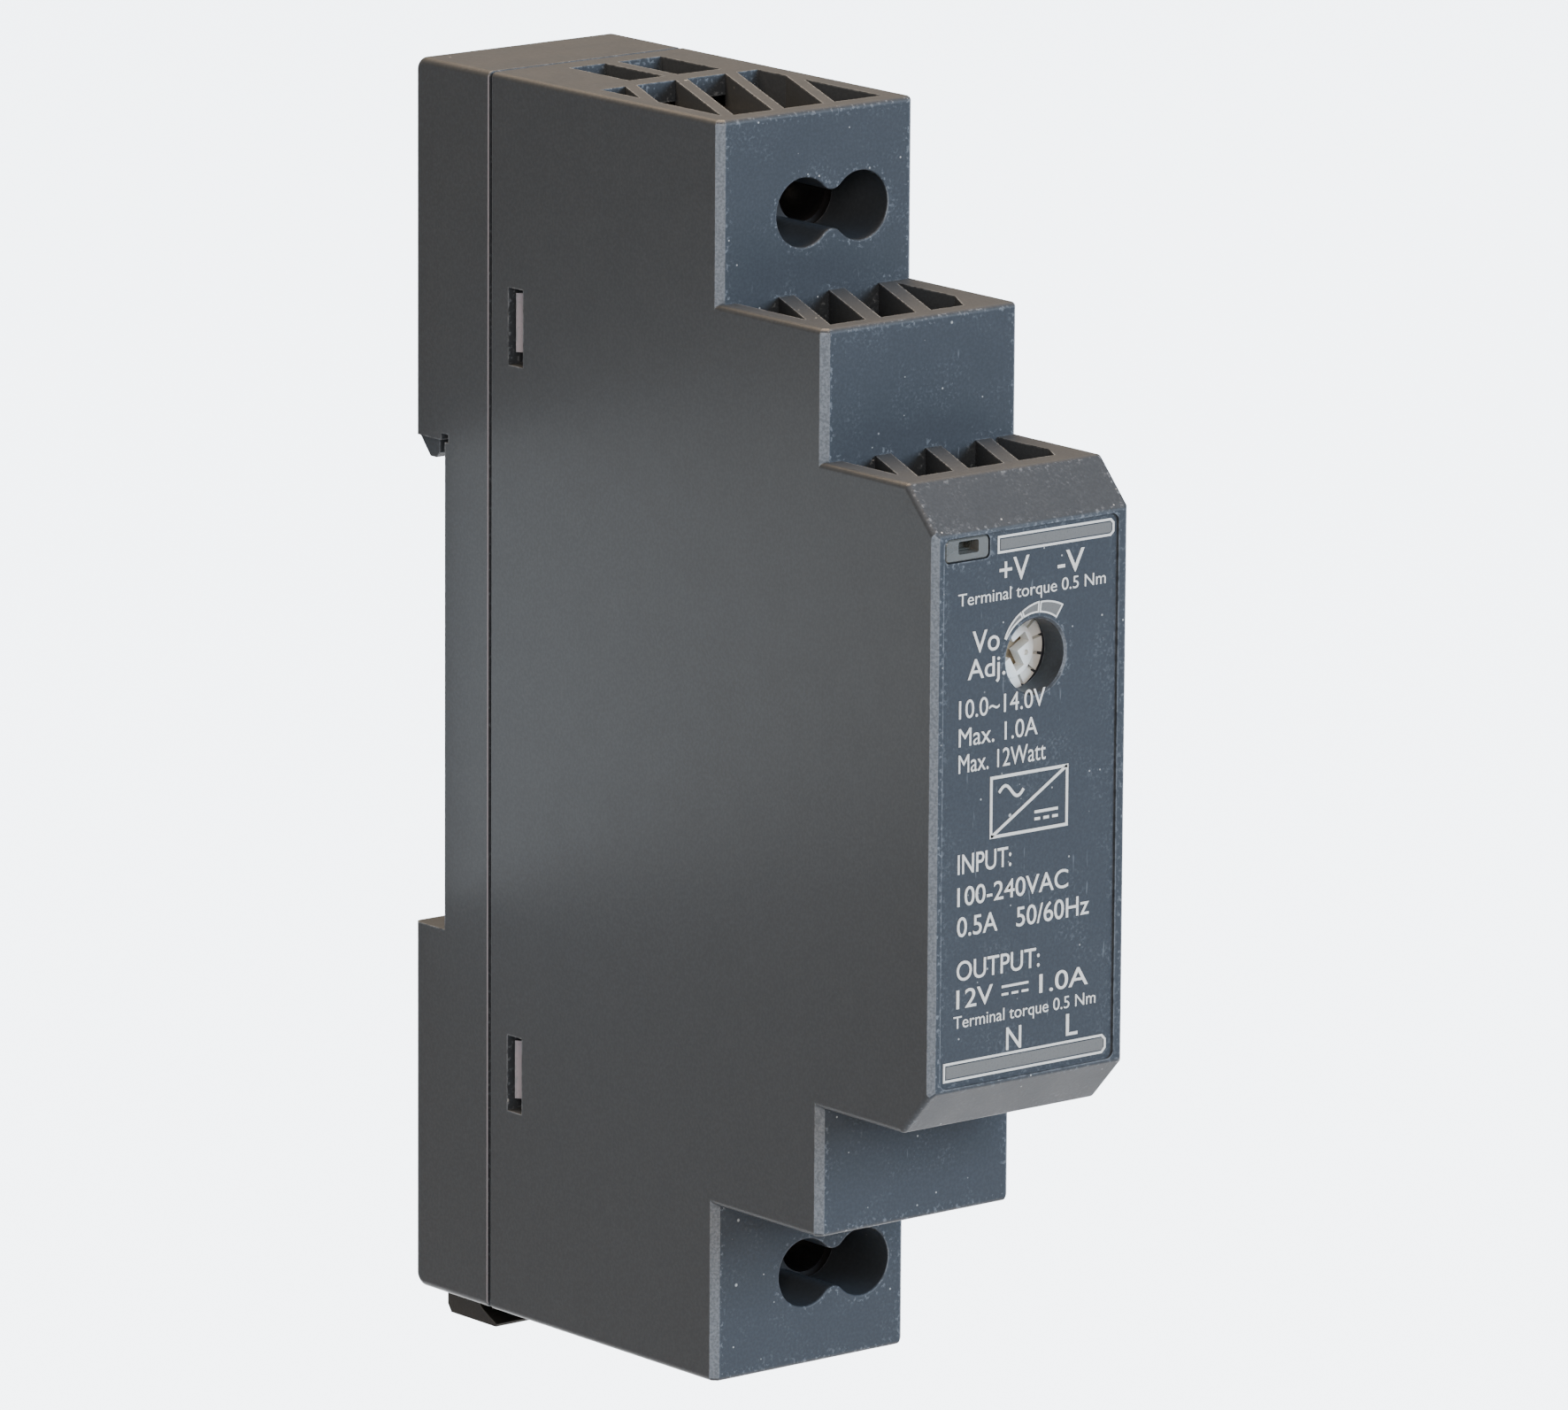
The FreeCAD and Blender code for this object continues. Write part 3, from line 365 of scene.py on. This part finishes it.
grey_ink_paint = ink("panel_ink_grey", (0.085, 0.085, 0.083))
lens_paint = clear_plastic("clear_lens")
diode_paint = simple_plastic("diode_body", (0.05, 0.055, 0.05), 0.3)
rotor_paint = simple_plastic("rotor_white", (0.70, 0.70, 0.67), 0.42, 0.3, Subsurface_Weight=0.1)

finishes = {
    "front_housing": housing_paint,
    "rear_base": base_paint,
    "rail_latch": latch_paint,
    "latch_spring": steel_paint,
    "output_terminal_block": black_paint,
    "input_terminal_block": black_paint,
    "main_board": circuit_board("board_mask"),
    "transformer_core": simple_plastic("ferrite", (0.022, 0.021, 0.022), 0.6, 0.25),
    "transformer_bobbin": simple_plastic("phenolic", (0.02, 0.016, 0.014), 0.45),
    "transformer_winding": wound_wire("enamel_wire", (0.45, 0.16, 0.05), 0.35, "Z"),
    "transformer_tape": simple_plastic("yellow_tape", (0.62, 0.44, 0.06), 0.32, 0.6),
    "line_choke_core": simple_plastic("choke_core", (0.022, 0.021, 0.022), 0.6, 0.25),
    "line_choke_windings": wound_wire("choke_wire", (0.45, 0.16, 0.05), 0.62, "Y"),
    "filter_capacitor": simple_plastic("filter_case", (0.42, 0.34, 0.08), 0.38),
    "varistor": simple_plastic("blue_epoxy", (0.02, 0.10, 0.32), 0.25, 0.7),
    "safety_capacitor": simple_plastic("blue_epoxy_pale", (0.03, 0.14, 0.36), 0.25, 0.7),
    "fuse_link": simple_plastic("glass_tube", (0.35, 0.38, 0.36), 0.15),
    "output_choke": simple_plastic("choke_drum", (0.025, 0.024, 0.025), 0.55, 0.25),
    "chip_parts": simple_plastic("ceramic", (0.30, 0.22, 0.14), 0.5),
    "status_diode": diode_paint,
    "trimmer_body": simple_plastic("trimmer_case", (0.03, 0.035, 0.045), 0.45),
    "trimmer_rotor": rotor_paint,
    "trimmer_wiper": brass_paint,
}
for name in ("plus", "minus", "neutral", "line"):
    finishes["clamp_screw_" + name] = nickel_paint
    finishes["clamp_cage_" + name] = nickel_paint
    finishes["contact_bar_" + name] = tin_paint
sleeve_paint = simple_plastic("capacitor_sleeve", (0.012, 0.014, 0.03), 0.28, 0.5)
for name in ("bulk_capacitor_front", "bulk_capacitor_rear", "output_capacitor_front", "output_capacitor_rear"):
    finishes[name] = sleeve_paint
case_paint = simple_plastic("chip_case", (0.012, 0.012, 0.013), 0.5)
for name in ("bridge_rectifier", "switching_controller", "optocoupler", "output_rectifier"):
    finishes[name] = case_paint

for name, material in finishes.items():
    for material_slot in nodes[name].material_slots:
        material_slot.material = material


# ---- the printing on the panel -------------------------------------------------------------

class Print:
    """Raised ink on the front panel, gathered into one mesh. Places are (x, z) in mm."""

    def __init__(self):
        self.mesh = bmesh.new()

    def corner(self, x, z, raised):
        """A vertex on the panel, or on top of the ink."""
        return self.mesh.verts.new((mm(x), mm(panel_y - ink_thickness * raised), mm(z)))

    def fill(self, outline):
        """Solid patch inside an outline."""
        top = [self.corner(x, z, 1) for x, z in outline]
        foot = [self.corner(x, z, 0) for x, z in outline]
        made = [self.mesh.faces.new(top), self.mesh.faces.new(foot)]
        for index in range(len(outline)):
            after = (index + 1) % len(outline)
            made.append(self.mesh.faces.new((top[index], foot[index], foot[after], top[after])))
        bmesh.ops.recalc_face_normals(self.mesh, faces=made)

    def line(self, path, width=thin_line, closed=False):
        """Line of even width with mitred corners."""
        path = [Vector(point) for point in path]
        count = len(path)
        left, right = [], []
        for index, point in enumerate(path):
            before = path[index - 1] if closed or index else None
            after = path[(index + 1) % count] if closed or index < count - 1 else None
            arriving = (point - before).normalized() if before else (after - point).normalized()
            leaving = (after - point).normalized() if after else arriving
            along = (arriving + leaving).normalized()
            side = Vector((-along.y, along.x))
            reach = width / 2 / max(0.4, side.dot(Vector((-arriving.y, arriving.x))))
            left.append(point + side * reach)
            right.append(point - side * reach)
        for index in range(count if closed else count - 1):
            after = (index + 1) % count
            self.fill([left[index], left[after], right[after], right[index]])

    def frame(self, x_low, x_high, z_low, z_high, cut=0.0, width=bar_line):
        """Rectangular outline; its right corners may be cut off."""
        self.line(framed(x_low, x_high, z_low, z_high, cut), width, True)

    def direct_current(self, x_low, x_high, z_line, z_dashes, dash, pitch, width):
        """Direct-current sign: a line over three dashes."""
        self.line([(x_low, z_line), (x_high, z_line)], width)
        for step in range(3):
            start = x_low + pitch * step
            self.line([(start, z_dashes), (start + dash, z_dashes)], width)

    def text(self, words, x_low, x_high, z_low, z_high, weight=0.004):
        """Lettering fitted between the given left, right, lower and upper lines."""
        curve = bpy.data.curves.new("words", "FONT")
        curve.body = words
        curve.size = 1
        curve.offset = weight
        curve.extrude = 0.5
        shown = bpy.data.objects.new("words", curve)
        bpy.context.scene.collection.objects.link(shown)
        bpy.context.view_layer.update()
        graph = bpy.context.evaluated_depsgraph_get()
        mesh = bpy.data.meshes.new_from_object(shown.evaluated_get(graph))
        xs = [v.co.x for v in mesh.vertices]
        zs = [v.co.y for v in mesh.vertices]
        x_scale = (x_high - x_low) / (max(xs) - min(xs))
        z_scale = (z_high - z_low) / (max(zs) - min(zs))
        for v in mesh.vertices:
            v.co = (mm(x_low + (v.co.x - min(xs)) * x_scale),
                    mm(panel_y - ink_thickness * (v.co.z + 0.5)),
                    mm(z_low + (v.co.y - min(zs)) * z_scale))
        self.mesh.from_mesh(mesh)
        bpy.data.objects.remove(shown)
        bpy.data.curves.remove(curve)
        bpy.data.meshes.remove(mesh)

    def finish(self, name, material, thickness=1.0):
        """Make the piece, which rides the housing; a thinner layer lies under the full one."""
        for vertex in self.mesh.verts:
            vertex.co.y = mm(panel_y) + (vertex.co.y - mm(panel_y)) * thickness
        return piece(name, self.mesh, material, "housing")


def piece(name, mesh, material, body):
    """New object from a bmesh, riding a CAD body."""
    data = bpy.data.meshes.new(name)
    mesh.to_mesh(data)
    mesh.free()
    data.materials.append(material)
    made = bpy.data.objects.new(name, data)
    bpy.context.scene.collection.objects.link(made)
    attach(made, body)
    return made


def framed(x_low, x_high, z_low, z_high, cut):
    """Corners of a rectangle, the right-hand ones cut off."""
    if not cut:
        return [(x_low, z_low), (x_high, z_low), (x_high, z_high), (x_low, z_high)]
    return [(x_low, z_low), (x_high - cut, z_low), (x_high, z_low + cut),
            (x_high, z_high - cut), (x_high - cut, z_high), (x_low, z_high)]


def arc(radius, start, end, steps):
    """Points on a circle round the dial, angles in degrees from the right."""
    angles = [math.radians(start + (end - start) * index / steps) for index in range(steps + 1)]
    return [(dial_x + radius * math.cos(a), dial_z + radius * math.sin(a)) for a in angles]


def print_bars():
    """Bars above the output marks and below the input marks."""
    outline = Print()
    top_bar = (-2.95, 7.35, 17.78, 18.86)
    low_bar = (-7.4, 7.1, -18.78, -17.58)
    outline.frame(*top_bar, cut=0.25)
    outline.frame(*low_bar, cut=0.3)
    outline.finish("print_bar_outlines", ink_paint)
    inside = Print()
    for x_low, x_high, z_low, z_high in (top_bar, low_bar):
        inside.fill(framed(x_low + bar_line, x_high - bar_line, z_low + bar_line, z_high - bar_line, 0.12))
    inside.finish("print_bar_fills", grey_ink_paint)


def print_terminal_marks():
    """Polarity and mains letters beside the terminals, and the small torque lines."""
    marks = Print()
    marks.text("+V", -2.85, -0.2, 15.65, 17.3)
    marks.text("-V", 2.35, 4.75, 15.6, 17.2)
    marks.text("N", -1.85, -0.5, -17.35, -15.75)
    marks.text("L", 3.55, 4.6, -17.15, -15.6)
    marks.text("Terminal torque 0.5 Nm", -6.5, 6.7, 14.15, 15.3, 0.0)
    marks.text("Terminal torque 0.5 Nm", -6.6, 6.2, -15.45, -14.3, 0.0)
    marks.finish("print_terminal_marks", ink_paint)


def print_dial():
    """Words and growing scale segments round the trimmer hole."""
    dial = Print()
    dial.text("Vo", -5.2, -2.8, 11.0, 12.55)
    dial.text("Adj.", -5.6, -2.25, 8.75, 10.6)
    fills = Print()
    steps = 14
    inner = 3.1
    first_width, growth = 0.12, 0.28
    for index, (start, end) in enumerate(((150, 114), (111, 87), (84, 55))):
        low = arc(inner, start, end, steps)
        widths = [first_width + growth * (index + step / steps) for step in range(steps + 1)]
        high = [(dial_x + (x - dial_x) * (1 + width / inner), dial_z + (z - dial_z) * (1 + width / inner))
                for (x, z), width in zip(low, widths)]
        dial.line(low + high[::-1], first_width, True)
        for step in range(steps):
            fills.fill([low[step], low[step + 1], high[step + 1], high[step]])
    fills.finish("print_dial_fills", grey_ink_paint, 0.5)
    dial.text("10.0~14.0V", margin_left, 1.35, 6.55, 7.85, 0.0)
    dial.text("Max. 1.0A", margin_left, 0.7, 4.6, 5.9, 0.0)
    dial.text("Max. 12Watt", margin_left, 1.45, 2.75, 4.05, 0.0)
    dial.finish("print_dial_marks", ink_paint)


def print_symbol():
    """General converter symbol: alternating current in one half, direct current in the other."""
    symbol = Print()
    x_low, x_high, z_low, z_high = -3.4, 3.4, -2.1, 2.05
    symbol.frame(x_low, x_high, z_low, z_high, width=symbol_line)
    symbol.line([(x_low, z_low), (x_high, z_high)], symbol_line)
    symbol.direct_current(0.5, 2.6, -0.85, -1.35, 0.5, 0.8, sign_line)
    wave_left, wave_length, wave_z, wave_height, steps = -2.7, 2.2, 0.95, 0.42, 24
    turns = [step / steps for step in range(steps + 1)]
    symbol.line([(wave_left + wave_length * turn, wave_z + wave_height * math.sin(2 * math.pi * turn))
                 for turn in turns], symbol_line)
    symbol.finish("print_converter_symbol", ink_paint)


def print_ratings():
    """Input and output lines."""
    lines = Print()
    lines.text("INPUT:", margin_left, -1.55, -4.35, -2.95)
    lines.text("100-240VAC", margin_left, 3.6, -6.6, -5.25)
    lines.text("0.5A   50/60Hz", margin_left, 5.5, -8.75, -7.35)
    lines.text("OUTPUT:", margin_left, 1.1, -11.85, -10.45)
    lines.text("12V", margin_left, -3.1, -13.8, -12.45)
    lines.text("1.0A", 1.1, 5.5, -13.75, -12.4)
    lines.direct_current(-2.3, 0.1, -12.8, -13.35, 0.6, 0.9, bar_line)
    lines.finish("print_ratings", ink_paint)


# ---- the light window ----------------------------------------------------------------------

def rounded(x_low, x_high, z_low, z_high, radius, steps=5):
    """Outline of a rectangle with rounded corners, anticlockwise from the lower right."""
    points = []
    corners = ((x_high - radius, z_low + radius, -90), (x_high - radius, z_high - radius, 0),
               (x_low + radius, z_high - radius, 90), (x_low + radius, z_low + radius, 180))
    for x, z, start in corners:
        for step in range(steps + 1):
            angle = math.radians(start + 90 * step / steps)
            points.append((x + radius * math.cos(angle), z + radius * math.sin(angle)))
    return points


def lofted(rings):
    """Closed mesh through outlines given as (outline, y), capped at both ends."""
    mesh = bmesh.new()
    loops = [[mesh.verts.new((mm(x), mm(y), mm(z))) for x, z in ring] for ring, y in rings]
    for lower, upper in zip(loops, loops[1:]):
        for index in range(len(lower)):
            after = (index + 1) % len(lower)
            mesh.faces.new((lower[index], lower[after], upper[after], upper[index]))
    mesh.faces.new(loops[0])
    mesh.faces.new(loops[-1])
    bmesh.ops.recalc_face_normals(mesh, faces=mesh.faces)
    return mesh


def light_pipe():
    """Clear window with a sunk pocket in front of the diode, and a dark lining in the pocket that is painted
    shade for its dark inside.
    """
    x_low, y_front, z_low = [in_mm(value) for value in lens_low]
    x_high, y_back, z_high = [in_mm(value) for value in lens_high]
    y_front -= lens_proud

    def pocket(inset, radius):
        """Outline of the pocket, drawn in by the inset."""
        return rounded(x_low + pocket_left + inset, x_low + pocket_right - inset,
                       z_low + pocket_low + inset, z_high - pocket_top_margin - inset, radius)

    outline = rounded(x_low, x_high, z_low, z_high, lens_corner)
    pipe = lofted([(outline, y_back), (outline, y_front + 0.12),
                   (rounded(x_low + lens_bevel, x_high - lens_bevel, z_low + lens_bevel,
                            z_high - lens_bevel, 0.3), y_front),
                   (rounded(x_low + 1.15, x_low + 2.95, z_low + 0.5, z_high - 0.2, 0.16), y_front),
                   (pocket(0, 0.14), y_front + pocket_depth)])
    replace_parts(piece("light_pipe", pipe, lens_paint, "housing"), "light_window")
    # Painted shade: a dark lining inside the pocket stands in for the shade in the cavity.
    pocket_shade_lining = lofted([(pocket(0.02, 0.12), y_front + 1.36), (pocket(0.02, 0.12), y_front + 0.75),
                     (pocket(0.06, 0.1), y_front + 0.75), (pocket(0.06, 0.1), y_front + 1.32)])
    piece("light_pipe_pocket_shade", pocket_shade_lining, diode_paint, "housing")


# ---- room, light and camera ----------------------------------------------------------------

def floor():
    """Wide pale floor well below the part, which hangs on a wall rail in use."""
    bpy.ops.mesh.primitive_plane_add(size=floor_size, location=(0, 0, floor_z))
    ground = bpy.context.object
    ground.name = "floor"
    paint = Paint("floor_paint", 0.9)
    paint.set("Base Color", paint.mix(paint.noise(400.0), (0.50, 0.54, 0.585), (0.52, 0.56, 0.605)))
    ground.data.materials.append(paint.material)


def area_light(name, place, target, size, power, colour):
    """Rectangular soft light aimed at a point; size is (across, up)."""
    data = bpy.data.lights.new(name, "AREA")
    data.shape = "RECTANGLE"
    data.size, data.size_y = size
    data.energy = power
    data.color = colour
    made = bpy.data.objects.new(name, data)
    made.location = place
    made.rotation_euler = (Vector(target) - Vector(place)).to_track_quat("-Z", "Y").to_euler()
    made.visible_camera = False
    bpy.context.scene.collection.objects.link(made)


def lights():
    """Warm top box, cool front fill, warm left fill, a small glow where the rail would be, floor wash."""
    area_light("top_box", (0, 0.12, 0.53), (0, 0, 0), (0.5, 0.5), 15.0, (1.0, 0.72, 0.47))
    area_light("front_fill", (0.5, -1.4, 0.6), (0, -0.03, 0), (0.8, 0.8), 49.0, (0.69, 0.83, 1.0))
    area_light("left_fill", (-0.9, -1.2, 0.5), (0, -0.03, 0), (0.6, 0.6), 19.0, (1.0, 0.87, 0.76))
    area_light("side_glow", (-0.072, 0.004, 0.0), (-0.072, -0.1, 0.0), (0.12, 0.034), 0.026,
               (0.88, 0.95, 1.0))
    area_light("floor_wash", (0.85, 1.05, -0.06), (0.85, 1.05, floor_z), (1.8, 1.8), 110.0,
               (1.0, 1.0, 1.0))
    bpy.data.objects["floor_wash"].visible_glossy = False
    world = bpy.data.worlds.new("studio")
    world.use_nodes = True
    background = world.node_tree.nodes["Background"]
    background.inputs["Color"].default_value = (1.0, 0.94, 0.88, 1)
    background.inputs["Strength"].default_value = ambient_strength
    bpy.context.scene.world = world


def camera():
    """Long lens from the front left, a little above."""
    data = bpy.data.cameras.new("camera")
    data.sensor_width = 36
    data.lens = 297.7
    data.clip_end = 20
    made = bpy.data.objects.new("camera", data)
    made.location = (-0.5622, -0.7166, 0.1969)
    made.rotation_euler = [math.radians(angle) for angle in (77.644, -0.345, -39.139)]
    bpy.context.scene.collection.objects.link(made)
    bpy.context.scene.camera = made


print_bars()
print_terminal_marks()
print_dial()
print_symbol()
print_ratings()
light_pipe()
floor()
lights()
camera()
